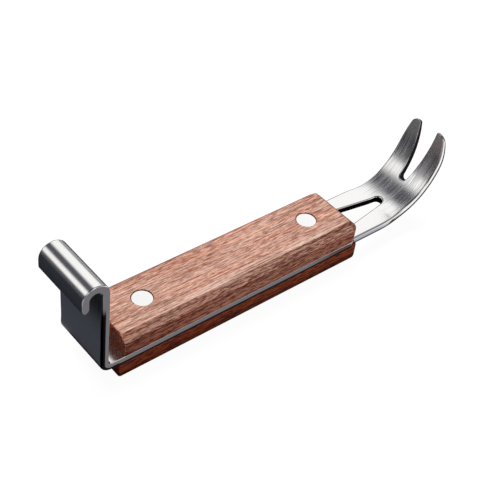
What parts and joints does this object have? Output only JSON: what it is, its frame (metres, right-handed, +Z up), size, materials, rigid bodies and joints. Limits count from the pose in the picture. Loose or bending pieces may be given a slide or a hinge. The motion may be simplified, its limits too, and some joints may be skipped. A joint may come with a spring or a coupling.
{
  "type": "trim removal tool",
  "caption": "Flat pry lever with a curved forked tip, a rolled hook on an upright tail and riveted wooden grip scales.",
  "frame": {"origin": "centre of the lower scale's flat underside, on which the tool lies", "axes": "+X along the handle towards the forked tip, +Z up towards the side the fork and the hook rise to, +Y across the strip"},
  "size_m": [0.1682, 0.025, 0.0476],
  "materials": {
    "steel": "polished with fine lengthwise brushing",
    "wood": "oiled fine-grained hardwood, satin",
    "rivet": "satin flat heads"
  },
  "bodies": {
    "root": {"blade": "steel", "upper_scale": "wood", "lower_scale": "wood", "rear_rivet_post": "rivet", "rear_rivet_tube": "rivet", "front_rivet_post": "rivet", "front_rivet_tube": "rivet"}
  },
  "joints": []
}
